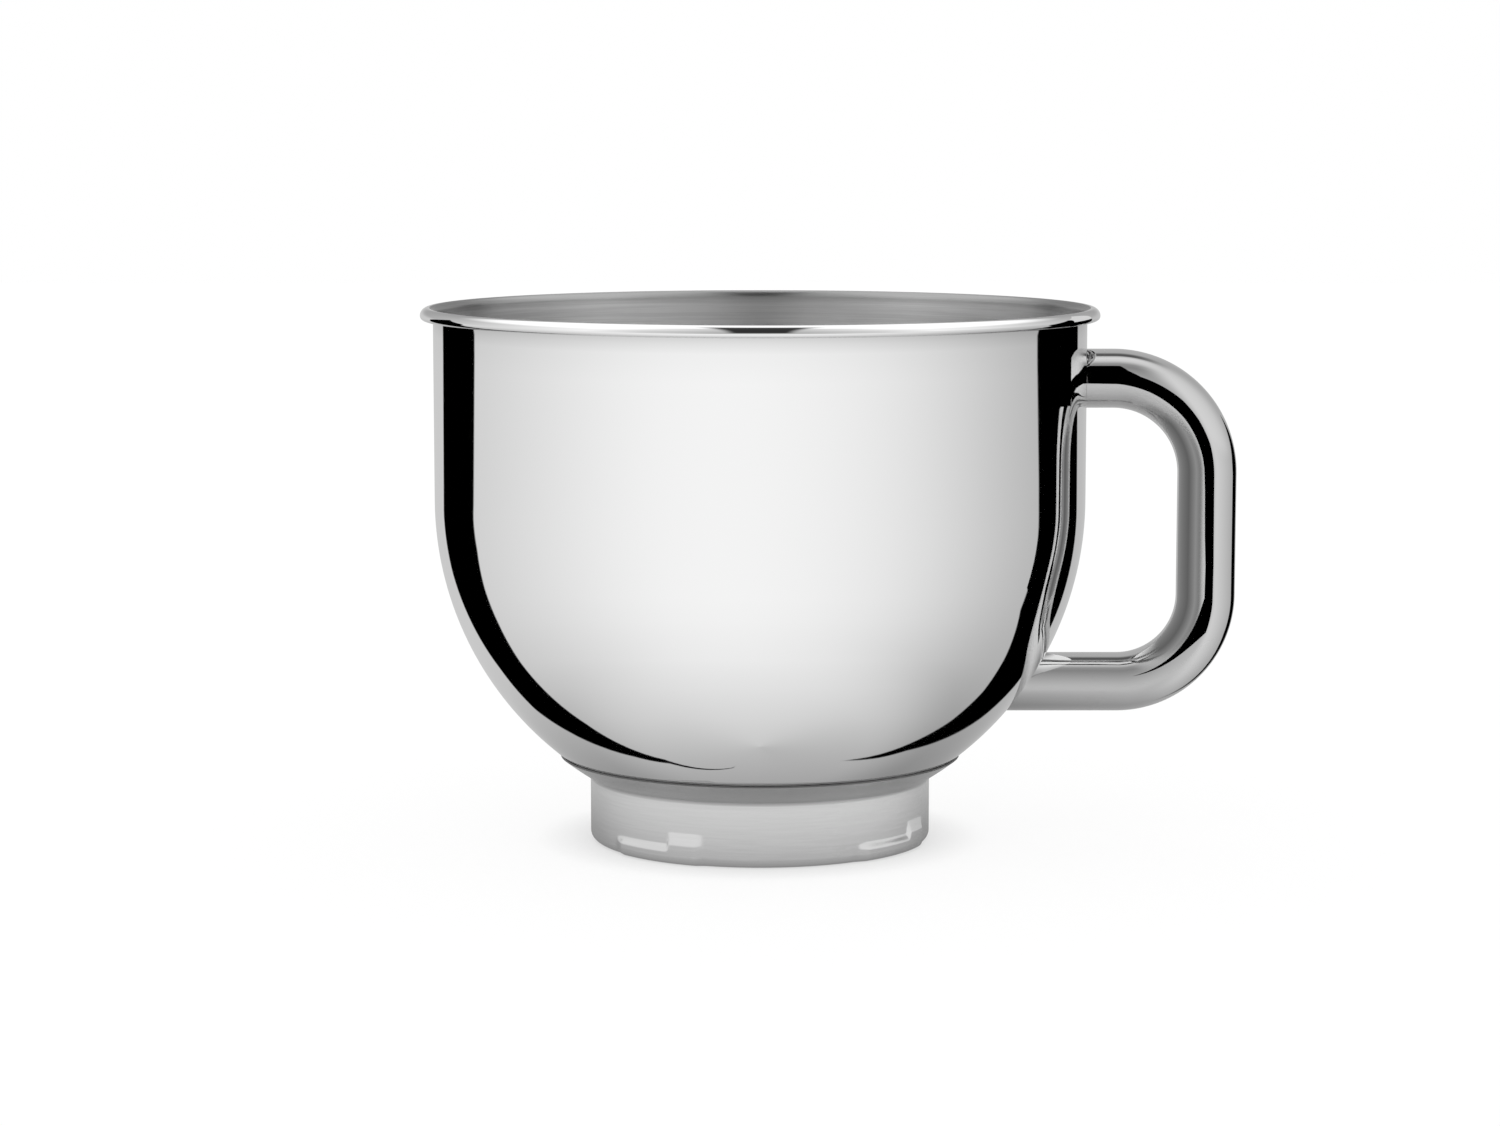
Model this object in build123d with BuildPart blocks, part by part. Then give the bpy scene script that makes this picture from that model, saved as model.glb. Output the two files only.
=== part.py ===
from build123d import *
import os
from math import asin, degrees, sqrt

# A stainless steel stand mixer bowl: a deep-drawn shell with a rolled rim, a pressed foot ring
# with bayonet lugs and a bent tube handle. The origin is on the axis at the standing surface,
# +Z is up and the handle points along +X.

# Shell
bowl_radius = 108.0
bowl_height = 178.0
bowl_sheet = 0.8
pole_clearance = 6.0

# Rolled rim
rim_lip_radius = 2.4
rim_flat = 0.6
rim_bead_radius = 2.1
rim_curl = 240.0

# Foot ring
ring_radius = 56.8
ring_sheet = 0.6
flange_width = 10.0
flange_bend = 2.0
foot_bend = 2.6
foot_lip = 6.0

# Bayonet lugs, with angles counted from the handle
lug_count = 4
lug_reach = 1.1
lug_angle = -146.0
ramp_sweep = 24.5
ramp_edge_height = 4.6
ramp_top_height = 6.2
stop_sweep = 12.5
stop_edge_height = 6.8
stop_top_height = 10.3
stop_run_out = 3.0

# Handle
handle_tube = 19.6
handle_wall = 1.5
handle_reach = 40.8
handle_drop = 23.9
handle_span = 101.7
handle_top_bend = 31.6
handle_bottom_bend = 29.4

# Room left for the welds between the pieces
weld_gap = 0.1

# Places worked out from the sizes above
sphere_height = bowl_radius + pole_clearance
inside_radius = bowl_radius - bowl_sheet
lip_centre = (inside_radius + rim_lip_radius, bowl_height - rim_lip_radius)
bead_centre = (lip_centre[0] + rim_flat, bowl_height - rim_bead_radius)
flange_radius = bowl_radius + weld_gap + ring_sheet
flange_edge_angle = degrees(asin((ring_radius + flange_width) / flange_radius))
bend_radius = ring_radius + flange_bend
bend_angle = degrees(asin(bend_radius / (flange_radius + flange_bend)))
bend_height = sphere_height - sqrt((flange_radius + flange_bend) ** 2 - bend_radius**2)
stop_angle = lug_angle + ramp_sweep
sheet_angle = degrees(ring_sheet / ring_radius)
run_out_angle = degrees(stop_run_out / ring_radius)

os.makedirs("parts", exist_ok=True)


def shell_skin(depth):
    """Draws the bowl's skin at a depth in its sheet, from the pole over the rim, and returns its ends."""
    cup = CenterArc((0, sphere_height), inside_radius + depth, -90, 90)
    Line(cup @ 1, (inside_radius + depth, lip_centre[1]))
    lip = CenterArc(lip_centre, rim_lip_radius - depth, 180, -90)
    Line(lip @ 1, (bead_centre[0], bowl_height - depth))
    curl = CenterArc(bead_centre, rim_bead_radius - depth, 90, -rim_curl)
    return cup @ 0, curl @ 1


def ring_skin(depth):
    """Draws the foot ring's skin at a depth in its sheet, from the flange to the lip, and returns its ends."""
    flange_sweep = bend_angle - flange_edge_angle
    flange = CenterArc((0, sphere_height), flange_radius - depth, flange_edge_angle - 90, flange_sweep)
    bend = CenterArc((bend_radius, bend_height), flange_bend + depth, 90 + bend_angle, 90 - bend_angle)
    Line(bend @ 1, (ring_radius - depth, foot_bend))
    foot = CenterArc((ring_radius - foot_bend, foot_bend), foot_bend - depth, 0, -90)
    lip = Line(foot @ 1, (ring_radius - foot_lip, depth))
    return flange @ 0, lip @ 1


def lug_section(edge_height, top_height, depth):
    """Draws a lug's section, closed towards the axis, at a depth in the sheet that it is pressed from."""
    face_radius = ring_radius + lug_reach - depth
    foot_radius = ring_radius - foot_bend
    edge = (face_radius, edge_height - depth / 2)
    top = (ring_radius - depth, top_height - depth / 2)
    foot = CenterArc((foot_radius + lug_reach, foot_bend), foot_bend - depth, -90, 90)
    Polyline(foot @ 1, edge, top, (foot_radius, top[1]), (foot_radius, depth), foot @ 0)


# Bowl: a drawn sheet, turned about the axis
with BuildPart() as bowl:
    with BuildSketch(Plane.XZ):
        with BuildLine():
            inside_pole, inside_end = shell_skin(0)
            outside_pole, outside_end = shell_skin(bowl_sheet)
            Line(inside_pole, outside_pole)
            Line(inside_end, outside_end)
        make_face()
    revolve(axis=Axis.Z)

bowl.part.label = "bowl"
export_step(bowl.part, "parts/bowl.step")


# One lug as a solid: a low ramp that the socket's claw slides over, then a taller stop with a sloped end
with BuildPart() as lug:
    with BuildSketch(Plane.XZ.rotated((0, 0, lug_angle))):
        with BuildLine():
            lug_section(ramp_edge_height, ramp_top_height, 0)
        make_face()
    revolve(axis=Axis.Z, revolution_arc=ramp_sweep)
    with BuildSketch(Plane.XZ.rotated((0, 0, stop_angle))):
        with BuildLine():
            lug_section(stop_edge_height, stop_top_height, 0)
        make_face()
    revolve(axis=Axis.Z, revolution_arc=stop_sweep)
    slope_foot = Vector(ring_radius, 0, 0).rotate(Axis.Z, stop_angle + stop_sweep)
    slope_top = Vector(ring_radius + lug_reach, 0, 0).rotate(Axis.Z, stop_angle + stop_sweep - run_out_angle)
    slope_out = Axis.Z.direction.cross(slope_top - slope_foot)
    split(bisect_by=Plane(slope_foot, z_dir=slope_out), keep=Keep.BOTTOM)


# The hollow behind one lug, which leaves the sheet's thickness on its face and ends
with BuildPart() as lug_hollow:
    with BuildSketch(Plane.XZ.rotated((0, 0, lug_angle + sheet_angle))):
        with BuildLine():
            lug_section(ramp_edge_height, ramp_top_height, ring_sheet)
        make_face()
    revolve(axis=Axis.Z, revolution_arc=ramp_sweep)
    with BuildSketch(Plane.XZ.rotated((0, 0, stop_angle + sheet_angle))):
        with BuildLine():
            lug_section(stop_edge_height, stop_top_height, ring_sheet)
        make_face()
    revolve(axis=Axis.Z, revolution_arc=stop_sweep - run_out_angle - 2 * sheet_angle)


# Foot ring: a pressed sheet, turned about the axis, with the lugs pressed out of it
with BuildPart() as base_ring:
    with BuildSketch(Plane.XZ):
        with BuildLine():
            outside_edge, outside_lip = ring_skin(0)
            inside_edge, inside_lip = ring_skin(ring_sheet)
            Line(outside_edge, inside_edge)
            Line(outside_lip, inside_lip)
        make_face()
    revolve(axis=Axis.Z)
    with PolarLocations(0, lug_count):
        add(lug.part)
        add(lug_hollow.part, mode=Mode.SUBTRACT)

base_ring.part.label = "base_ring"
export_step(base_ring.part, "parts/base_ring.step")


# Handle: a tube bent round two corners, then trimmed to the outside of the bowl
with BuildPart() as handle:
    top_run = bowl_height - handle_drop
    bottom_run = top_run - handle_span
    grip = bowl_radius + handle_reach
    with BuildLine(Plane.XZ) as route:
        corners = ((0, top_run), (grip, top_run), (grip, bottom_run), (0, bottom_run))
        FilletPolyline(*corners, radius=(handle_top_bend, handle_bottom_bend))
    with BuildSketch(Plane(origin=route.line @ 0, z_dir=route.line % 0)):
        Circle(handle_tube / 2)
        Circle(handle_tube / 2 - handle_wall, mode=Mode.SUBTRACT)
    sweep(path=route.line)
    with BuildSketch(Plane.XZ):
        with BuildLine():
            cup = CenterArc((0, sphere_height), bowl_radius + weld_gap, -90, 90)
            Polyline(cup @ 1, (bowl_radius + weld_gap, bowl_height), (0, bowl_height), cup @ 0)
        make_face()
    revolve(axis=Axis.Z, mode=Mode.SUBTRACT)

handle.part.label = "handle"
export_step(handle.part, "parts/handle.step")
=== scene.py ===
"""Dresses the stand mixer bowl: a polished shell, a satin foot ring and a polished tube handle in a pale studio."""
import logging
from dataclasses import dataclass, field
from enum import Enum
from math import asin, atan2, cos, degrees, hypot, pi, radians, sin, sqrt

import bpy
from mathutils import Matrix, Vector


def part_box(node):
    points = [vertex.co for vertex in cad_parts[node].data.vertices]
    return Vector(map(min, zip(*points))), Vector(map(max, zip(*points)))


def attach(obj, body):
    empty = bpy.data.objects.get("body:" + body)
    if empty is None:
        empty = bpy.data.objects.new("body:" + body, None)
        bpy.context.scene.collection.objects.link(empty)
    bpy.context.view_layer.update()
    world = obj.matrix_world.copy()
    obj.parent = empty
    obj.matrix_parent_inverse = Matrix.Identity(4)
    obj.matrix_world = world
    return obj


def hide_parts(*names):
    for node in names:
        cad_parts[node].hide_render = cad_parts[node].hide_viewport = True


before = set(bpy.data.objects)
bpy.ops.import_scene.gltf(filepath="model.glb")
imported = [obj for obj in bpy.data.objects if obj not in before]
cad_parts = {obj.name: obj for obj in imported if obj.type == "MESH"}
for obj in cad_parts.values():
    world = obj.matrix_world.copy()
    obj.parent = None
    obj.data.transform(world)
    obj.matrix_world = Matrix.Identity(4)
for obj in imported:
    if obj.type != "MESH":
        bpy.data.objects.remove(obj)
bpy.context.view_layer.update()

log = logging.getLogger("mixer_bowl")

MM = 0.001
BODY = "root"
PHOTO_WIDTH = 1500
MERGE_DISTANCE = 0.001 * MM
GRAIN_DEPTH = 0.02 * MM
GRAIN_CONTRAST = (0.35, 0.65)
HAZE_CONTRAST = (0.35, 0.75)
QUARTER_TURN = 0.25

Stops = tuple[tuple[float, float], ...]


class Slot(Enum):
    """The record's material slots for the pieces' finishes; the script builds its own materials and does not assign
    these.
    """

    SHELL = "polished_steel"
    RING = "satin_steel"
    HANDLE = "handle_steel"


class Axis(Enum):
    """The axes that a profile is spun about."""

    UP = (0.0, 0.0, 1.0)
    ACROSS = (0.0, 1.0, 0.0)


# Node helpers


class NodeSheet:
    """Adds and links the nodes of one shader tree."""

    def __init__(self, tree: bpy.types.NodeTree) -> None:
        """Takes over a tree.

        Args:
            tree: the node tree of a material, a world or a group.
        """
        self.tree = tree

    def add(self, kind: str, settings: dict | None = None, **inputs: object) -> bpy.types.Node:
        """Adds a node.

        Args:
            kind: the node's type name.
            settings: attributes to set on the node, such as its operation.
            inputs: values or output sockets, by input name with underscores for spaces, or i0, i1 by number.

        Returns:
            The new node.
        """
        node = self.tree.nodes.new(kind)
        for name, value in (settings or {}).items():
            setattr(node, name, value)
        for name, value in inputs.items():
            numbered = name[0] == "i" and name[1:].isdigit()
            socket = node.inputs[int(name[1:])] if numbered else node.inputs[name.replace("_", " ")]
            if isinstance(value, bpy.types.NodeSocket):
                self.tree.links.new(value, socket)
            else:
                socket.default_value = value
        return node

    def maths(self, operation: str, *values: object) -> bpy.types.NodeSocket:
        """Adds a Math node.

        Args:
            operation: the operation's name.
            values: numbers or output sockets, in order.

        Returns:
            The node's output.
        """
        inputs = {f"i{i}": value for i, value in enumerate(values)}
        return self.add("ShaderNodeMath", {"operation": operation}, **inputs).outputs[0]

    def ease(
        self, value: object, low: float, high: float, start: object = 0.0, end: object = 1.0
    ) -> bpy.types.NodeSocket:
        """Adds a Map Range node with soft ends.

        Args:
            value: the number to map.
            low: where the change starts.
            high: where the change ends.
            start: the result at low.
            end: the result at high.

        Returns:
            The mapped value.
        """
        node = self.add("ShaderNodeMapRange", {"interpolation_type": "SMOOTHSTEP"}, Value=value)
        for name, part in (("From Min", low), ("From Max", high), ("To Min", start), ("To Max", end)):
            socket = node.inputs[name]
            if isinstance(part, bpy.types.NodeSocket):
                self.tree.links.new(part, socket)
            else:
                socket.default_value = part
        return node.outputs[0]

    def follow(self, value: bpy.types.NodeSocket, stops: Stops, blend: str = "LINEAR") -> bpy.types.NodeSocket:
        """Adds a colour ramp of grey levels that runs from the first stop to the last.

        Args:
            value: the place along the stops.
            stops: the place and the level of each stop, in order.
            blend: how the levels run into each other.

        Returns:
            The level at that place.
        """
        first, last = stops[0][0], stops[-1][0]
        share = self.maths("DIVIDE", self.maths("SUBTRACT", value, first), last - first)
        node = self.add("ShaderNodeValToRGB", Fac=share)
        ramp = node.color_ramp
        ramp.interpolation = blend
        while len(ramp.elements) < len(stops):
            ramp.elements.new(1.0)
        for stop, (place, level) in zip(ramp.elements, stops):
            stop.position = (place - first) / (last - first)
            stop.color = (level, level, level, 1.0)
        return node.outputs["Color"]

    def window(
        self, value: bpy.types.NodeSocket, edges: tuple[float, float, float, float]
    ) -> bpy.types.NodeSocket:
        """Opens a soft window over a range of angles.

        Args:
            value: the angle in radians.
            edges: where it starts to open, is open, starts to close and is closed, in degrees.

        Returns:
            A value of 1 in the window and 0 outside it.
        """
        opening = self.ease(value, *map(radians, edges[:2]))
        closing = self.ease(value, *map(radians, edges[2:]), 1.0, 0.0)
        return self.maths("MULTIPLY", opening, closing)

    def dim(self, level: bpy.types.NodeSocket, cover: bpy.types.NodeSocket) -> bpy.types.NodeSocket:
        """Takes a covered share off a level."""
        return self.maths("MULTIPLY", level, self.maths("SUBTRACT", 1.0, cover))

    def show(self, shader: bpy.types.Node) -> None:
        """Hands a shader to the material's output."""
        self.tree.links.new(shader.outputs[0], self.tree.nodes["Material Output"].inputs["Surface"])


def new_material(name: str) -> tuple[bpy.types.Material, NodeSheet]:
    """Makes a material with nodes.

    Args:
        name: the material's name.

    Returns:
        The material and the sheet of its nodes.
    """
    made = bpy.data.materials.new(name)
    made.use_nodes = True
    return made, NodeSheet(made.node_tree)


def new_group(
    name: str, inputs: dict[str, float], outputs: dict[str, str]
) -> tuple[NodeSheet, bpy.types.Node, bpy.types.Node]:
    """Makes an empty shader node group.

    Args:
        name: the group's name.
        inputs: the default of each number input, by name.
        outputs: the socket type of each output, by name.

    Returns:
        The group's sheet, its input node and its output node.
    """
    tree = bpy.data.node_groups.new(name, "ShaderNodeTree")
    for label, value in inputs.items():
        tree.interface.new_socket(label, in_out="INPUT", socket_type="NodeSocketFloat").default_value = value
    for label, kind in outputs.items():
        tree.interface.new_socket(label, in_out="OUTPUT", socket_type=kind)
    sheet = NodeSheet(tree)
    return sheet, sheet.add("NodeGroupInput"), sheet.add("NodeGroupOutput")


# Surface effects that the finishes share


def turned_grain() -> bpy.types.NodeTree:
    """Builds the grain that a rotating polishing wheel leaves: fine lines round the bowl's axis.

    Returns:
        The node group, with Lines per metre and Length in, and Height and Mask out.
    """
    sheet, given, result = new_group(
        "turned_grain", {"Lines": 900.0, "Length": 3.0}, {"Height": "NodeSocketFloat", "Mask": "NodeSocketFloat"}
    )
    place = sheet.add("ShaderNodeTexCoord").outputs["Object"]
    parts = sheet.add("ShaderNodeSeparateXYZ", Vector=place).outputs
    flat = sheet.add("ShaderNodeCombineXYZ", X=parts[0], Y=parts[1]).outputs[0]
    across = sheet.add("ShaderNodeVectorMath", {"operation": "LENGTH"}, i0=flat).outputs["Value"]
    around = sheet.add("ShaderNodeVectorMath", {"operation": "NORMALIZE"}, i0=flat).outputs[0]
    turn = sheet.add("ShaderNodeSeparateXYZ", Vector=around).outputs
    along = sheet.maths("MULTIPLY", sheet.maths("ADD", parts[2], across), given.outputs["Lines"])
    track = sheet.add(
        "ShaderNodeCombineXYZ",
        X=sheet.maths("MULTIPLY", turn[0], given.outputs["Length"]),
        Y=sheet.maths("MULTIPLY", turn[1], given.outputs["Length"]),
        Z=along,
    ).outputs[0]
    lines = sheet.add("ShaderNodeTexNoise", Vector=track, Scale=1.0, Detail=4.0, Roughness=0.65).outputs[0]
    sheet.tree.links.new(lines, result.inputs["Height"])
    sheet.tree.links.new(sheet.ease(lines, *GRAIN_CONTRAST), result.inputs["Mask"])
    return sheet.tree


def wiping_haze() -> bpy.types.NodeTree:
    """Builds the faint haze that wiping leaves on polished steel.

    Returns:
        The node group, with Scale in and a Mask out.
    """
    sheet, given, result = new_group("wiping_haze", {"Scale": 14.0}, {"Mask": "NodeSocketFloat"})
    place = sheet.add("ShaderNodeTexCoord").outputs["Object"]
    cloud = sheet.add(
        "ShaderNodeTexNoise", Vector=place, Scale=given.outputs["Scale"], Detail=5.0, Roughness=0.6, Distortion=0.8
    )
    sheet.tree.links.new(sheet.ease(cloud.outputs[0], *HAZE_CONTRAST), result.inputs["Mask"])
    return sheet.tree


# Finishes


@dataclass(frozen=True)
class SteelFinish:
    """A steel surface: its colour, its gloss and the marks that working it left."""

    name: str
    colour: float
    gloss: tuple[float, float]
    lines: float
    line_length: float
    bump: float
    haze_scale: float = 14.0
    shade: float = 0.0
    anisotropy: float = 0.0
    # Levels by height that scale the colour near the rim: painted shade.
    rim: Stops = ()

    def material(self, grain: bpy.types.NodeTree, haze: bpy.types.NodeTree) -> bpy.types.Material:
        """Builds the material.

        Args:
            grain: the turned_grain group.
            haze: the wiping_haze group.

        Returns:
            The material.
        """
        made, sheet = new_material(self.name)
        steel = made.node_tree.nodes["Principled BSDF"]
        marks = sheet.add("ShaderNodeGroup", {"node_tree": grain}, Lines=self.lines, Length=self.line_length)
        film = sheet.add("ShaderNodeGroup", {"node_tree": haze}, Scale=self.haze_scale)
        worn = sheet.maths("MULTIPLY", sheet.maths("ADD", marks.outputs["Mask"], film.outputs["Mask"]), 0.5)
        rough = sheet.ease(worn, 0.0, 1.0, *self.gloss)
        made.node_tree.links.new(rough, steel.inputs["Roughness"])
        level = sheet.ease(marks.outputs["Mask"], 0.0, 1.0, self.colour * (1 - self.shade), self.colour)
        # The rim levels darken the colour by height: painted shade under the bead outside and on the lip inside.
        if self.rim:
            place = sheet.add("ShaderNodeTexCoord").outputs["Object"]
            height = sheet.add("ShaderNodeSeparateXYZ", Vector=place).outputs["Z"]
            level = sheet.maths("MULTIPLY", level, sheet.follow(height, self.rim))
        tint = sheet.add("ShaderNodeCombineColor", i0=level, i1=level, i2=level)
        made.node_tree.links.new(tint.outputs[0], steel.inputs["Base Color"])
        relief = sheet.add("ShaderNodeBump", Strength=self.bump, Distance=GRAIN_DEPTH, Height=marks.outputs["Height"])
        made.node_tree.links.new(relief.outputs[0], steel.inputs["Normal"])
        steel.inputs["Metallic"].default_value = 1.0
        if self.anisotropy:
            steel.inputs["Anisotropic"].default_value = self.anisotropy
            steel.inputs["Anisotropic Rotation"].default_value = QUARTER_TURN
            turn = sheet.add("ShaderNodeTangent", {"direction_type": "RADIAL", "axis": "Z"})
            made.node_tree.links.new(turn.outputs[0], steel.inputs["Tangent"])
        return made


# Painted shade under the rolled bead: levels by height that darken the polished outside's colour just below the rim.
PAINTED_SHADE_UNDER_RIM = ((0.16, 1.0), (0.169, 0.96), (0.172, 0.84), (0.1745, 0.7), (0.1754, 1.0), (0.178, 1.0))
# Painted shade on the inside lip: levels by height that darken the brushed colour towards the crest.
PAINTED_SHADE_ON_LIP = ((0.1735, 1.0), (0.1745, 0.84), (0.1757, 0.68), (0.177, 0.56), (0.178, 0.5))

POLISHED = SteelFinish("polished_steel_outside", 0.9, (0.02, 0.045), 700.0, 2.0, 0.02, rim=PAINTED_SHADE_UNDER_RIM)
BRUSHED = SteelFinish(
    "brushed_steel_inside", 0.76, (0.3, 0.4), 1400.0, 2.5, 0.3, shade=0.1, anisotropy=0.7, rim=PAINTED_SHADE_ON_LIP
)
SATIN = SteelFinish("satin_steel", 0.665, (0.2, 0.26), 1600.0, 3.0, 0.05, shade=0.03)
TUBE = SteelFinish("polished_steel_tube", 0.67, (0.025, 0.06), 500.0, 2.0, 0.02, haze_scale=22.0)
# The dark colour on the ring's cut edge is painted shade in the seam between ring and bowl.
PAINTED_SEAM = SteelFinish("painted_seam_line", 0.2, (0.5, 0.7), 900.0, 3.0, 0.1)


# Modelling by hand


class Profile:
    """A chain of edges in the XZ plane, drawn point by point in edit mode and then turned."""

    def __init__(self, name: str, start: tuple[float, float]) -> None:
        """Starts the chain.

        Args:
            name: the piece's name.
            start: the first point, as distance from the axis and height.
        """
        bpy.ops.object.select_all(action="DESELECT")
        bpy.ops.mesh.primitive_plane_add(size=MM, location=(start[0], 0.0, start[1]))
        self.piece = bpy.context.object
        self.piece.name = name
        self.piece.data.name = name
        bpy.ops.object.transform_apply(location=True, rotation=True, scale=True)
        bpy.ops.object.mode_set(mode="EDIT")
        bpy.ops.mesh.select_mode(type="VERT")
        bpy.ops.mesh.select_all(action="SELECT")
        bpy.ops.mesh.merge(type="CENTER")

    def line(self, out: float, up: float, steps: int = 1) -> None:
        """Draws a straight stretch.

        Args:
            out: how far it runs from the axis.
            up: how far it rises.
            steps: the number of edges.
        """
        for _ in range(steps):
            bpy.ops.mesh.extrude_region_move(TRANSFORM_OT_translate={"value": (out / steps, 0.0, up / steps)})

    def arc(self, centre: tuple[float, float], angle: float, steps: int) -> None:
        """Draws a round stretch.

        Args:
            centre: the arc's centre, as distance from the axis and height.
            angle: the sweep in degrees, anticlockwise seen with +X to the right and +Z up.
            steps: the number of edges.
        """
        bpy.ops.mesh.spin(
            steps=steps, angle=radians(angle), center=(centre[0], 0.0, centre[1]), axis=Axis.ACROSS.value
        )

    def turn(self, steps: int) -> bpy.types.Object:
        """Turns the chain about the bowl's axis and closes the seam and the pole.

        Args:
            steps: the number of steps round.

        Returns:
            The piece, in object mode.
        """
        bpy.ops.mesh.select_all(action="SELECT")
        bpy.ops.mesh.spin(steps=steps, angle=2 * pi, center=(0, 0, 0), axis=Axis.UP.value)
        bpy.ops.mesh.select_all(action="SELECT")
        bpy.ops.mesh.remove_doubles(threshold=MERGE_DISTANCE)
        bpy.ops.mesh.normals_make_consistent(inside=False)
        bpy.ops.object.mode_set(mode="OBJECT")
        return self.piece


def face_towards(piece: bpy.types.Object, inwards: bool, height: float) -> None:
    """Turns all faces of an open skin to one side, judged by a face of the wall.

    Args:
        piece: the turned skin.
        inwards: whether the faces look at the axis.
        height: a height at which the skin is a wall.
    """
    wall = min(piece.data.polygons, key=lambda face: abs(face.center.z - height))
    looks_in = wall.normal.x * wall.center.x + wall.normal.y * wall.center.y < 0
    if looks_in != inwards:
        bpy.ops.object.mode_set(mode="EDIT")
        bpy.ops.mesh.select_all(action="SELECT")
        bpy.ops.mesh.flip_normals()
        bpy.ops.object.mode_set(mode="OBJECT")


def thicken(piece: bpy.types.Object, sheet: float, rim_slot: int = 0) -> None:
    """Gives a skin the thickness of its sheet, away from the side that its faces look to.

    Args:
        piece: the skin.
        sheet: the sheet's thickness.
        rim_slot: how far the cut edge's material slot lies after the skin's.
    """
    wall = piece.modifiers.new("sheet", "SOLIDIFY")
    wall.thickness = sheet
    wall.offset = -1.0
    wall.use_even_offset = True
    wall.material_offset_rim = rim_slot
    bpy.context.view_layer.objects.active = piece
    bpy.ops.object.modifier_apply(modifier=wall.name)


def finish_piece(piece: bpy.types.Object, node: str, edge_angle: float = 40.0) -> None:
    """Smooths a piece, puts it on its body and lets it stand for its solid.

    Args:
        piece: the finished mesh.
        node: the solid that it stands for.
        edge_angle: the angle in degrees past which an edge stays sharp.
    """
    bpy.ops.object.select_all(action="DESELECT")
    piece.select_set(True)
    bpy.context.view_layer.objects.active = piece
    bpy.ops.object.shade_smooth_by_angle(angle=radians(edge_angle))
    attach(piece, BODY)
    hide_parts(node)
    log.info("%s: %d faces", piece.name, len(piece.data.polygons))


# Sub-assemblies


@dataclass
class BowlShell:
    """The deep-drawn shell with its rolled rim."""

    radius: float = 108.0 * MM
    sheet: float = 0.8 * MM
    pole_clearance: float = 6.0 * MM
    lip_radius: float = 2.4 * MM
    bead_top: float = 2.66 * MM
    bead_foot: float = 1.3 * MM
    curl: float = 150.0
    brush_end: float = -0.5 * MM
    sphere_steps: int = 64
    wall_steps: int = 16
    lip_steps: int = 8
    bead_steps: int = 12
    steps: int = 288
    height: float = field(default_factory=lambda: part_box("bowl")[1].z)

    @property
    def inside(self) -> float:
        """The inside radius."""
        return self.radius - self.sheet

    @property
    def sphere_height(self) -> float:
        """The height of the half-sphere's centre."""
        return self.radius + self.pole_clearance

    def build(self) -> bpy.types.Object:
        """Models the shell from its inside skin.

        Returns:
            The shell.
        """
        lip_centre = (self.inside + self.lip_radius, self.height - self.lip_radius)
        bead_centre = (lip_centre[0], self.height - self.bead_top)
        foot_centre = (bead_centre[0] + self.bead_top - self.bead_foot, bead_centre[1])
        profile = Profile("bowl_shell", (0.0, self.sphere_height - self.inside))
        profile.arc((0.0, self.sphere_height), 90.0, self.sphere_steps)
        profile.line(0.0, lip_centre[1] - self.sphere_height, self.wall_steps)
        profile.arc(lip_centre, -90.0, self.lip_steps)
        profile.arc(bead_centre, -90.0, self.bead_steps)
        profile.arc(foot_centre, -self.curl, self.bead_steps)
        piece = profile.turn(self.steps)
        face_towards(piece, True, (self.sphere_height + lip_centre[1]) / 2)
        thicken(piece, self.sheet)
        return piece

    def dress(self, piece: bpy.types.Object, outside: bpy.types.Material, inside: bpy.types.Material) -> None:
        """Gives the shell its two finishes.

        Args:
            piece: the shell.
            outside: the finish of the outside and the rim.
            inside: the finish of the inside.
        """
        piece.data.materials.append(outside)
        piece.data.materials.append(inside)
        limit = self.inside + self.sheet / 2
        crest = self.inside + self.lip_radius + self.brush_end
        for face in piece.data.polygons:
            out = hypot(face.center.x, face.center.y)
            reach = hypot(out, min(0.0, face.center.z - self.sphere_height))
            on_lip = face.center.z > self.height - self.lip_radius and out < crest
            face.material_index = 1 if on_lip or reach < limit else 0
        finish_piece(piece, "bowl")


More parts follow.
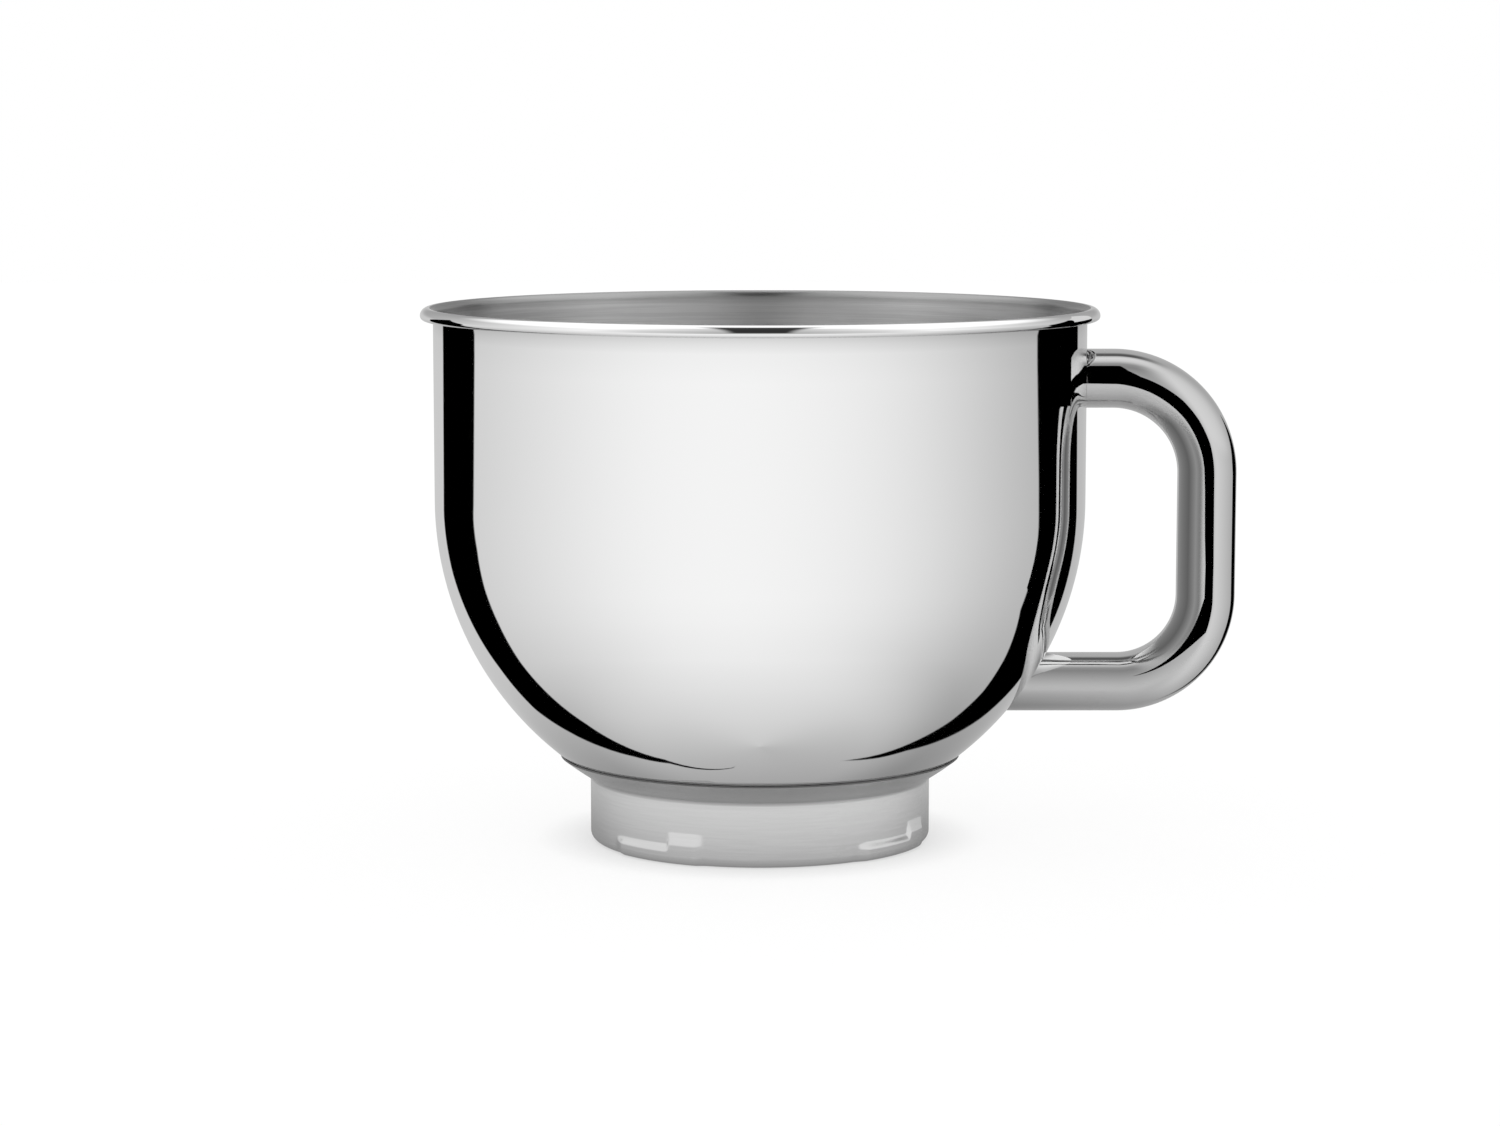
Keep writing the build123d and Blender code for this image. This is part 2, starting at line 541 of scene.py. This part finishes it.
@dataclass
class FootRing:
    """The pressed foot ring with its flange and bayonet lugs."""

    shell: BowlShell
    radius: float = 56.8 * MM
    sheet: float = 0.6 * MM
    gap: float = 0.1 * MM
    flange_width: float = 10.0 * MM
    flange_bend: float = 2.0 * MM
    foot_bend: float = 2.6 * MM
    foot_lip: float = 6.0 * MM
    lug_count: int = 4
    lug_reach: float = 1.1 * MM
    lug_angle: float = -146.0
    ramp_sweep: float = 24.5
    ramp_heights: tuple[float, float] = (4.6 * MM, 6.2 * MM)
    stop_sweep: float = 12.5
    stop_heights: tuple[float, float] = (6.8 * MM, 10.3 * MM)
    run_in: float = 4.0
    run_out: float = 3.0
    step_slope: float = 1.0
    row: float = 0.35 * MM
    flange_steps: int = 12
    bend_steps: int = 8
    band_steps: int = 6
    lip_steps: int = 3
    press_softness: float = 0.5
    press_rounds: int = 2
    steps: int = 720

    def raised(self, angle: float, height: float) -> float:
        """Works out how far the pressed lugs stand out.

        Args:
            angle: the place round the ring in degrees, counted from the handle.
            height: the height over the foot.

        Returns:
            The share of the lugs' full reach, from 0 to 1.
        """
        turn = (angle - self.lug_angle) % (360.0 / self.lug_count)
        length = self.ramp_sweep + self.stop_sweep
        if turn >= length:
            return 0.0
        step = min(max((turn - self.ramp_sweep) / self.step_slope + 0.5, 0.0), 1.0)
        low, high = (a + (b - a) * step for a, b in zip(self.ramp_heights, self.stop_heights))
        ends = min(1.0, turn / self.run_in, (length - turn) / self.run_out)
        return ends * min(max((high - height) / (high - low), 0.0), 1.0)

    def build(self) -> bpy.types.Object:
        """Models the ring from its outside skin, with the lugs pressed out of it.

        Returns:
            The ring.
        """
        skin = self.shell.radius + self.gap + self.sheet
        edge = asin((self.radius + self.flange_width) / skin)
        bend = asin((self.radius + self.flange_bend) / (skin + self.flange_bend))
        centre = self.shell.sphere_height
        bend_height = centre - (skin + self.flange_bend) * cos(bend)
        profile = Profile("foot_ring", (skin * sin(edge), centre - skin * cos(edge)))
        profile.arc((0.0, centre), degrees(bend - edge), self.flange_steps)
        profile.arc((self.radius + self.flange_bend, bend_height), 90.0 - degrees(bend), self.bend_steps)
        lug_top = self.stop_heights[1] + 2 * self.row
        profile.line(0.0, lug_top - bend_height, self.band_steps)
        profile.line(0.0, self.foot_bend - lug_top, round((lug_top - self.foot_bend) / self.row))
        profile.arc((self.radius - self.foot_bend, self.foot_bend), -90.0, self.bend_steps)
        profile.line(self.foot_bend - self.foot_lip, 0.0, self.lip_steps)
        piece = profile.turn(self.steps)
        face_towards(piece, False, (lug_top + bend_height) / 2)
        self.press_lugs(piece)
        return piece

    def press_lugs(self, piece: bpy.types.Object) -> None:
        """Pushes the lugs out of the band and rounds their edges as a press does.

        Args:
            piece: the ring's outside skin.
        """
        foot_start = self.radius - self.foot_bend - MERGE_DISTANCE
        for point in piece.data.vertices:
            out = hypot(point.co.x, point.co.y)
            if out < foot_start:
                continue
            angle = degrees(atan2(point.co.y, point.co.x))
            share = self.raised(angle, point.co.z)
            scale = 1.0 + share * self.lug_reach / out
            point.co.x *= scale
            point.co.y *= scale
        bpy.ops.object.mode_set(mode="EDIT")
        bpy.ops.mesh.select_all(action="DESELECT")
        bpy.ops.object.mode_set(mode="OBJECT")
        for point in piece.data.vertices:
            point.select = point.co.z < self.stop_heights[1] + self.row and point.co.z > self.foot_bend
        bpy.ops.object.mode_set(mode="EDIT")
        bpy.ops.mesh.vertices_smooth(factor=self.press_softness, repeat=self.press_rounds, zaxis=False)
        bpy.ops.object.mode_set(mode="OBJECT")

    def dress(self, piece: bpy.types.Object, band: bpy.types.Material, seam_shadow: bpy.types.Material) -> None:
        """Gives the ring its thickness, its satin finish and a painted shade line on its cut edge, in the seam with
        the bowl.

        Args:
            piece: the ring's outside skin.
            band: the finish of the sheet.
            seam_shadow: the finish of the cut edge, where the ring meets the bowl.
        """
        piece.data.materials.append(band)
        piece.data.materials.append(seam_shadow)
        thicken(piece, self.sheet, 1)
        finish_piece(piece, "base_ring")


@dataclass
class TubeHandle:
    """The bent tube handle, trimmed to the bowl."""

    shell: BowlShell
    tube: float = 19.599 * MM
    wall: float = 1.5 * MM
    reach: float = 40.8 * MM
    drop: float = 23.9 * MM
    span: float = 101.7 * MM
    top_bend: float = 31.6 * MM
    bottom_bend: float = 29.4 * MM
    gap: float = 0.05 * MM
    sides: int = 96
    bend_steps: int = 40

    def build(self) -> bpy.types.Object:
        """Models the tube from a circle, by extruding and spinning it along the handle's route.

        Returns:
            The handle.
        """
        top = self.shell.height - self.drop
        grip = self.shell.radius + self.reach
        start = self.shell.radius
        bpy.ops.object.select_all(action="DESELECT")
        bpy.ops.mesh.primitive_circle_add(
            vertices=self.sides, radius=self.tube / 2, location=(start, 0, top), rotation=(0, pi / 2, 0)
        )
        piece = bpy.context.object
        piece.name = "handle_tube"
        piece.data.name = "handle_tube"
        bpy.ops.object.transform_apply(location=True, rotation=True, scale=True)
        bpy.ops.object.mode_set(mode="EDIT")
        bpy.ops.mesh.select_all(action="SELECT")
        top_corner = grip - self.top_bend
        bottom_corner = grip - self.bottom_bend
        self.push((top_corner - start, 0.0, 0.0))
        self.corner((top_corner, 0.0, top - self.top_bend))
        self.push((0.0, 0.0, self.top_bend + self.bottom_bend - self.span))
        self.corner((bottom_corner, 0.0, top - self.span + self.bottom_bend))
        self.push((start - bottom_corner, 0.0, 0.0))
        bpy.ops.mesh.select_all(action="SELECT")
        bpy.ops.mesh.remove_doubles(threshold=MERGE_DISTANCE)
        bpy.ops.mesh.normals_make_consistent(inside=False)
        bpy.ops.object.mode_set(mode="OBJECT")
        self.trim(piece, start, top)
        return piece

    def push(self, way: tuple[float, float, float]) -> None:
        """Extrudes the selected loop along a straight run."""
        bpy.ops.mesh.extrude_region_move(TRANSFORM_OT_translate={"value": way})

    def corner(self, centre: tuple[float, float, float]) -> None:
        """Spins the selected loop a quarter turn round a corner's centre."""
        bpy.ops.mesh.spin(steps=self.bend_steps, angle=-pi / 2, center=centre, axis=Axis.ACROSS.value)

    def trim(self, piece: bpy.types.Object, start: float, top: float) -> None:
        """Slides the points of both ends along their runs onto the bowl's outside.

        Args:
            piece: the tube.
            start: where both runs start, as distance from the axis.
            top: the height of the top run.
        """
        reach = self.shell.radius + self.gap
        middle = top - self.span / 2
        for point in piece.data.vertices:
            if abs(point.co.x - start) > MERGE_DISTANCE:
                continue
            drop = min(0.0, point.co.z - self.shell.sphere_height)
            point.co.x = sqrt(reach**2 - point.co.y**2 - drop**2)
        looks = next(face for face in piece.data.polygons if abs(face.center.z - middle) < self.span / 4)
        axis = Vector((self.shell.radius + self.reach, 0.0, looks.center.z))
        if looks.normal.dot(looks.center - axis) < 0:
            bpy.ops.object.mode_set(mode="EDIT")
            bpy.ops.mesh.select_all(action="SELECT")
            bpy.ops.mesh.flip_normals()
            bpy.ops.object.mode_set(mode="OBJECT")
        thicken(piece, self.wall)

    def dress(self, piece: bpy.types.Object, polish: bpy.types.Material) -> None:
        """Gives the handle its finish."""
        piece.data.materials.append(polish)
        finish_piece(piece, "handle")


# Studio


@dataclass(frozen=True)
class Flag:
    """A black flag beside the object, as the metal sees it: the bearings of its edges by elevation, in degrees."""

    edges: tuple[tuple[float, float, float], ...]
    softness: float = 1.0


FLAGS = (
    Flag((
        (-80, -155, -159), (-76, -157, -157), (-64, -138, -134.8), (-56, -137.2, -130.6), (-48, -139, -126.8),
        (-40, -141.5, -125.9), (-32, -144.8, -125), (-25, -144.2, -123), (-18.6, -146, -122), (-12, -148, -120),
        (-6.4, -148, -120), (-3.5, -146.5, -118), (0, -146, -118), (8, -137, -126), (16, -131, -133), (90, -131, -133),
    )),
    Flag((
        (-72, 136, 132), (-65, 134, 134), (-58, 133.6, 136.2), (-51, 133, 137.5), (-43, 133, 142), (-36, 131, 146),
        (-30.5, 126, 149), (-23.2, 117, 152), (-14, 115.5, 151), (-5.7, 114, 148), (-3.5, 112, 147), (0, 112, 146),
        (8, 121, 138), (16, 131, 129), (90, 131, 129),
    )),
)


@dataclass(frozen=True)
class Surround:
    """The light that one piece mirrors: levels by bearing in degrees, below and above the horizon.

    A patch darkens the front by bearing, between the elevations of patch_rise. The zenith has a level of its own, past
    two elevations. A boom hangs dark over the front, between the pitches at its ends. A strip runs from the front over
    the top to the back and under the object, with levels by pitch, where the runs of the handle look.
    """

    name: str
    radius: float
    lower: Stops
    upper: Stops
    nadir: float
    horizon: tuple[float, float] = (0.0, 10.0)
    zenith: tuple[float, float, float] | None = None
    flags: tuple[Flag, ...] = ()
    patch: Stops = ()
    patch_rise: tuple[float, float, float, float] = (-1.0, 0.5, 64.0, 76.0)
    boom: tuple[float, float, float, float] | None = None
    strip: Stops = ()


@dataclass(frozen=True)
class Card:
    """A card that only the metal sees, drawn as an outline across and up, in metres, then turned.

    A striped card is seen from one side only and fades where it is seen at a flat angle.
    """

    name: str
    outline: tuple[tuple[float, float], ...]
    place: tuple[float, float, float]
    turn: float = 0.0
    level: float = 0.0
    stripes: Stops = ()

    def build(self) -> bpy.types.Object:
        """Draws the outline from one point in edit mode, fills it and stands it up.

        Returns:
            The card, placed and turned as an object.
        """
        bpy.ops.object.select_all(action="DESELECT")
        bpy.ops.mesh.primitive_plane_add(size=MM)
        bpy.ops.object.mode_set(mode="EDIT")
        bpy.ops.mesh.select_all(action="SELECT")
        bpy.ops.mesh.merge(type="CENTER")
        across, up = self.outline[0]
        bpy.ops.transform.translate(value=(across, 0.0, up))
        for (x, z), (next_x, next_z) in zip(self.outline, self.outline[1:]):
            bpy.ops.mesh.extrude_region_move(TRANSFORM_OT_translate={"value": (next_x - x, 0.0, next_z - z)})
        bpy.ops.mesh.select_all(action="SELECT")
        bpy.ops.mesh.edge_face_add()
        bpy.ops.object.mode_set(mode="OBJECT")
        card = bpy.context.object
        card.rotation_euler = (0.0, 0.0, radians(self.turn))
        card.location = self.place
        return card


@dataclass
class Studio:
    """The pale floor, the light round the object and the cards that the metal mirrors."""

    floor_size: float = 8.0
    floor_gap: float = 0.05 * MM
    floor_colour: float = 0.16
    floor_glow: float = 0.87
    shadow_depth: float = 0.35
    shadow_reach: float = 0.028
    shadow_samples: int = 16
    shade_gap: float = 0.2 * MM
    shade_sides: int = 96
    dome_segments: int = 48
    dome_rings: int = 24
    sky: float = 0.9
    nadir_share: float = 0.65
    nadir_rise: tuple[float, float] = (-66.0, -42.0)
    strip_bearing: float = 0.09
    strip_edge: tuple[float, float] = (0.15, 0.5)
    boom_edge: tuple[float, float] = (0.13, 0.21)
    boom_depth: float = 0.94
    card_fade: tuple[float, float] = (0.35, 0.9)
    shell_light: Surround = Surround(
        "shell_light",
        radius=60.0,
        lower=(
            (-180, 0.6), (-150, 0.62), (-115, 0.7), (-75, 0.84), (-36, 1.0), (7, 1.01), (55, 0.86), (105, 0.5),
            (150, 0.5), (180, 0.6),
        ),
        upper=(
            (-180, 0.35), (-150, 0.4), (-115, 0.62), (-85, 0.85), (-48, 1.1), (-15, 1.05), (15, 1.05), (48, 1.1),
            (85, 0.85), (115, 0.62), (150, 0.4), (180, 0.35),
        ),
        nadir=0.98,
        zenith=(26.0, 42.0, 1.18),
        flags=FLAGS,
        patch=((-60, 0.0), (-40, 0.3), (-13, 0.5), (13, 0.5), (40, 0.3), (60, 0.0)),
        boom=(4.0, 20.0, 92.0, 100.0),
    )
    ring_light: Surround = Surround(
        "ring_light",
        radius=64.0,
        lower=(
            (-180, 0.6), (-135, 0.75), (-100, 0.95), (-60, 1.0), (0, 1.0), (60, 1.02), (100, 0.95), (135, 0.68),
            (180, 0.6),
        ),
        upper=((-180, 0.5), (-147, 0.35), (-124, 0.35), (-112, 1.6), (100, 1.6), (112, 0.4), (147, 0.4), (180, 0.5)),
        nadir=0.85,
        horizon=(8.0, 25.0),
    )
    grip_light: Surround = Surround(
        "grip_light",
        radius=68.0,
        lower=(
            (-180, 0.6), (-150, 0.62), (-115, 0.7), (-75, 0.84), (-36, 1.0), (7, 1.0), (55, 0.83), (105, 0.6),
            (150, 0.5), (180, 0.6),
        ),
        upper=((-180, 0.6), (-115, 0.6), (-48, 0.95), (48, 0.95), (85, 0.85), (115, 0.6), (145, 0.5), (180, 0.6)),
        nadir=0.7,
        zenith=(81.0, 84.0, 0.06),
        flags=FLAGS,
        strip=(
            (-180, 0.57), (-100, 0.5), (-25, 0.74), (0, 0.63), (50, 0.33), (62, 0.4), (76, 0.87), (90, 1.0), (98, 0.7),
            (102, 0.13), (112, 0.13), (124, 0.58), (180, 0.58),
        ),
    )
    shade: Stops = (
        (0.055, 0.49), (0.069, 0.57), (0.085, 0.66), (0.103, 0.75), (0.13, 0.85), (0.16, 0.93), (0.22, 0.98),
        (0.28, 1.0),
    )
    cards: tuple[Card, ...] = (
        Card(
            "grip_flag",
            (
                (0.1095, 0.176), (0.1254, 0.176), (0.126, 0.172), (0.13, 0.163), (0.139, 0.157), (0.147, 0.1515),
                (0.153, 0.143), (0.1575, 0.133), (0.1583, 0.12), (0.159, 0.1), (0.1595, 0.09), (0.1585, 0.075),
                (0.157, 0.0645), (0.124, 0.0645), (0.131, 0.0725), (0.144, 0.079), (0.145, 0.09), (0.143, 0.1),
                (0.142, 0.115), (0.14, 0.125), (0.136, 0.134), (0.128, 0.141), (0.12, 0.146), (0.1095, 0.147),
            ),
            (0.0, -0.03, 0.0),
        ),
        Card(
            "grip_flag_top",
            ((0.1095, 0.188), (0.1235, 0.188), (0.1254, 0.176), (0.1095, 0.176)),
            (0.0, -0.03, 0.0),
            level=0.7,
        ),
        Card(
            "grip_card",
            ((-0.12, -0.05), (0.044, -0.05), (0.044, 0.25), (-0.12, 0.25)),
            (0.1138, 0.0, 0.0),
            turn=93.7,
            stripes=((-0.12, 0.6), (-0.06, 0.24), (-0.034, 0.38), (-0.012, 0.17), (0.044, 0.42)),
        ),
    )

    def glow(self, light: Surround) -> bpy.types.NodeTree:
        """Builds the light that a piece sees in each direction.

        Args:
            light: the piece's surround.

        Returns:
            The node group, with a direction in and a level out.
        """
        tree = bpy.data.node_groups.new(light.name, "ShaderNodeTree")
        tree.interface.new_socket("Direction", in_out="INPUT", socket_type="NodeSocketVector")
        tree.interface.new_socket("Level", in_out="OUTPUT", socket_type="NodeSocketFloat")
        sheet = NodeSheet(tree)
        given, result = sheet.add("NodeGroupInput"), sheet.add("NodeGroupOutput")
        way = sheet.add("ShaderNodeVectorMath", {"operation": "NORMALIZE"}, i0=given.outputs[0]).outputs[0]
        x, y, z = sheet.add("ShaderNodeSeparateXYZ", Vector=way).outputs
        ahead = sheet.maths("MULTIPLY", y, -1.0)
        bearing = sheet.maths("ARCTAN2", x, ahead)
        rise = sheet.maths("ARCSINE", z)
        turn = sheet.maths("DEGREES", bearing)
        lower, upper = (sheet.follow(turn, stops, "B_SPLINE") for stops in (light.lower, light.upper))
        under = sheet.maths("MULTIPLY_ADD", lower, 1.0 - self.nadir_share, light.nadir * self.nadir_share)
        level = sheet.ease(rise, *map(radians, self.nadir_rise), under, lower)
        level = sheet.ease(rise, *map(radians, light.horizon), level, upper)
        if light.zenith:
            level = sheet.ease(rise, *map(radians, light.zenith[:2]), level, light.zenith[2])
        if light.patch:
            front = sheet.follow(turn, light.patch)
            level = sheet.dim(level, sheet.maths("MULTIPLY", sheet.window(rise, light.patch_rise), front))
        for flag in light.flags:
            level = sheet.maths("MULTIPLY", level, self.flag_gap(sheet, flag, bearing, rise))
        pitch = sheet.maths("ARCTAN2", z, ahead)
        if light.boom:
            across = sheet.ease(sheet.maths("ABSOLUTE", x), *self.boom_edge, self.boom_depth, 0.0)
            level = sheet.dim(level, sheet.maths("MULTIPLY", sheet.window(pitch, light.boom), across))
        if light.strip:
            off = sheet.maths("ABSOLUTE", sheet.maths("SUBTRACT", x, self.strip_bearing))
            over = sheet.follow(sheet.maths("DEGREES", pitch), light.strip)
            level = sheet.ease(off, *self.strip_edge, over, level)
        tree.links.new(level, result.inputs[0])
        return tree

    def flag_gap(
        self, sheet: NodeSheet, flag: Flag, bearing: bpy.types.NodeSocket, rise: bpy.types.NodeSocket
    ) -> bpy.types.NodeSocket:
        """Works out where a flag leaves the light free.

        Args:
            sheet: the tree that it is built in.
            flag: the flag.
            bearing: the direction round the object, in radians.
            rise: the direction up from the horizon, in radians.

        Returns:
            A value of 0 on the flag and 1 beside it.
        """
        height = sheet.maths("DEGREES", rise)
        sides = []
        for side in (1, 2):
            # A ramp holds no negative levels, so the bearings go through it as shares of a full turn.
            share = sheet.follow(height, tuple((edge[0], edge[side] / 360.0 + 0.5) for edge in flag.edges))
            sides.append(sheet.maths("MULTIPLY", sheet.maths("SUBTRACT", share, 0.5), 2 * pi))
        left = sheet.maths("SUBTRACT", sides[0], bearing)
        right = sheet.maths("SUBTRACT", bearing, sides[1])
        return sheet.ease(sheet.maths("MAXIMUM", left, right), 0.0, radians(flag.softness))

    def light(self) -> None:
        """Makes the world: white behind the object and an even sky on the floor."""
        world = bpy.data.worlds.new("studio")
        bpy.context.scene.world = world
        world.use_nodes = True
        sheet = NodeSheet(world.node_tree)
        back = world.node_tree.nodes["Background"]
        ray = sheet.add("ShaderNodeLightPath").outputs
        level = sheet.add("ShaderNodeMix", Factor=ray["Is Glossy Ray"], A=self.sky, B=0.0).outputs[0]
        level = sheet.add("ShaderNodeMix", Factor=ray["Is Camera Ray"], A=level, B=1.0).outputs[0]
        world.node_tree.links.new(level, back.inputs["Color"])

    def hang_dome(self, light: Surround, seer: bpy.types.Object) -> None:
        """Hangs a far dome whose light one piece alone mirrors, while the others look through it.

        Args:
            light: the piece's surround.
            seer: the piece.
        """
        bpy.ops.object.select_all(action="DESELECT")
        bpy.ops.mesh.primitive_uv_sphere_add(
            segments=self.dome_segments, ring_count=self.dome_rings, radius=light.radius
        )
        made, sheet = new_material(light.name)
        made.cycles.emission_sampling = "NONE"
        place = sheet.add("ShaderNodeTexCoord").outputs["Object"]
        seen = sheet.add("ShaderNodeGroup", {"node_tree": self.glow(light)}, Direction=place).outputs[0]
        shine = sheet.add("ShaderNodeEmission", Strength=seen).outputs[0]
        both = sheet.add("ShaderNodeAddShader", i0=shine, i1=sheet.add("ShaderNodeBsdfTransparent").outputs[0])
        sheet.show(both)
        bpy.context.object.light_linking.receiver_collection = gather(light.name, seer)
        self.stage_piece(light.name, made)

    def lay_floor(self) -> None:
        """Lays the pale floor, which shows the object's soft shadow and is clear from below."""
        bpy.ops.object.select_all(action="DESELECT")
        bpy.ops.mesh.primitive_plane_add(size=self.floor_size, location=(0.0, 0.0, -self.floor_gap))
        floor = bpy.context.object
        floor.name = "floor"
        floor.visible_glossy = False
        floor.visible_shadow = False
        paper, sheet = new_material("floor_paper")
        matt = paper.node_tree.nodes["Principled BSDF"]
        matt.inputs["Base Color"].default_value = (self.floor_colour,) * 3 + (1.0,)
        matt.inputs["Roughness"].default_value = 1.0
        matt.inputs["Specular IOR Level"].default_value = 0.0
        matt.inputs["Emission Color"].default_value = (1.0, 1.0, 1.0, 1.0)
        # The glow darkens near the object by ambient occlusion: a painted contact shadow, over the real shadow in the
        # faint diffuse part.
        near = sheet.add("ShaderNodeAmbientOcclusion", {"samples": self.shadow_samples}, Distance=self.shadow_reach)
        open_share = sheet.ease(near.outputs["AO"], 0.0, 1.0, 1.0 - self.shadow_depth, 1.0)
        seen = sheet.maths("MULTIPLY", sheet.add("ShaderNodeLightPath").outputs["Is Camera Ray"], open_share)
        paper.node_tree.links.new(sheet.maths("MULTIPLY", seen, self.floor_glow), matt.inputs["Emission Strength"])
        below = sheet.add("ShaderNodeNewGeometry").outputs["Backfacing"]
        clear = sheet.add("ShaderNodeBsdfTransparent").outputs[0]
        sheet.show(sheet.add("ShaderNodeMixShader", Fac=below, i1=matt.outputs[0], i2=clear))
        floor.data.materials.append(paper)

    def stage_piece(self, name: str, material: bpy.types.Material) -> None:
        """Turns the active object into a stage piece that only the metal sees.

        Args:
            name: the piece's name.
            material: its material.
        """
        piece = bpy.context.object
        piece.name = name
        piece.visible_camera = False
        piece.visible_diffuse = False
        piece.visible_transmission = False
        piece.visible_shadow = False
        piece.data.materials.append(material)

    def lay_shade(self) -> None:
        """Lays the shade that the bowl throws on the floor round its foot, as its own metal mirrors it."""
        reach = self.shade[-1][0]
        bpy.ops.object.select_all(action="DESELECT")
        bpy.ops.mesh.primitive_circle_add(
            vertices=self.shade_sides, radius=reach, fill_type="NGON", location=(0.0, 0.0, -self.shade_gap)
        )
        made, sheet = new_material("floor_shade")
        place = sheet.add("ShaderNodeTexCoord").outputs["Object"]
        across = sheet.add("ShaderNodeVectorMath", {"operation": "LENGTH"}, i0=place).outputs["Value"]
        sheet.show(sheet.add("ShaderNodeBsdfTransparent", Color=sheet.follow(across, self.shade)))
        self.stage_piece("floor_shade", made)

    def hang_cards(self, body: bpy.types.Collection) -> None:
        """Hangs the cards beside the handle.

        Args:
            body: the pieces that see a plain card at its level, as the handle sees every plain card black.
        """
        for card in self.cards:
            piece = card.build()
            made, sheet = new_material(card.name)
            shine = sheet.add("ShaderNodeEmission", Strength=card.level)
            surface = shine
            if card.stripes:
                place = sheet.add("ShaderNodeTexCoord").outputs["Object"]
                across = sheet.add("ShaderNodeSeparateXYZ", Vector=place).outputs["X"]
                made.node_tree.links.new(sheet.follow(across, card.stripes), shine.inputs["Strength"])
                clear = sheet.add("ShaderNodeBsdfTransparent").outputs[0]
                side = sheet.add("ShaderNodeNewGeometry").outputs["Backfacing"]
                flat = sheet.add("ShaderNodeLayerWeight", Blend=0.5).outputs["Facing"]
                cover = sheet.maths("MULTIPLY", side, sheet.ease(flat, *self.card_fade, 1.0, 0.0))
                surface = sheet.add("ShaderNodeMixShader", Fac=cover, i1=clear, i2=shine.outputs[0])
            else:
                piece.light_linking.receiver_collection = body
            sheet.show(surface)
            self.stage_piece(card.name, made)


@dataclass(frozen=True)
class View:
    """The photograph's camera."""

    place: tuple[float, float, float] = (-3.33 * MM, -1227.6 * MM, 242.45 * MM)
    focal_pixels: float = 3703.7
    pitch: float = 6.973
    sensor: float = 36.0
    nearest: float = 10.0 * MM

    def set_up(self) -> None:
        """Makes the camera and hands it to the scene."""
        lens = bpy.data.cameras.new("camera")
        lens.sensor_width = self.sensor
        lens.lens = self.focal_pixels * self.sensor / PHOTO_WIDTH
        lens.clip_start = self.nearest
        camera = bpy.data.objects.new("camera", lens)
        camera.location = self.place
        camera.rotation_euler = (radians(90.0 - self.pitch), 0.0, 0.0)
        bpy.context.scene.collection.objects.link(camera)
        bpy.context.scene.camera = camera


def gather(name: str, *pieces: bpy.types.Object) -> bpy.types.Collection:
    """Gathers pieces in a collection of their own, for light linking.

    Args:
        name: the collection's name.
        pieces: the pieces.

    Returns:
        The collection.
    """
    made = bpy.data.collections.new(name)
    for piece in pieces:
        made.objects.link(piece)
    return made


def main() -> None:
    """Builds the pieces in order, dresses them and sets up the studio."""
    logging.basicConfig(level=logging.INFO, format="%(name)s: %(message)s")
    grain, haze = turned_grain(), wiping_haze()
    shell = BowlShell()
    bowl = shell.build()
    shell.dress(bowl, POLISHED.material(grain, haze), BRUSHED.material(grain, haze))
    ring = FootRing(shell)
    foot = ring.build()
    ring.dress(foot, SATIN.material(grain, haze), PAINTED_SEAM.material(grain, haze))
    handle = TubeHandle(shell)
    tube = handle.build()
    handle.dress(tube, TUBE.material(grain, haze))
    studio = Studio()
    studio.light()
    studio.lay_floor()
    studio.lay_shade()
    for light, piece in ((studio.shell_light, bowl), (studio.ring_light, foot), (studio.grip_light, tube)):
        studio.hang_dome(light, piece)
    studio.hang_cards(gather("body", bowl, foot))
    View().set_up()
    bpy.context.scene.view_settings.view_transform = "Standard"


if __name__ == "__main__":
    main()
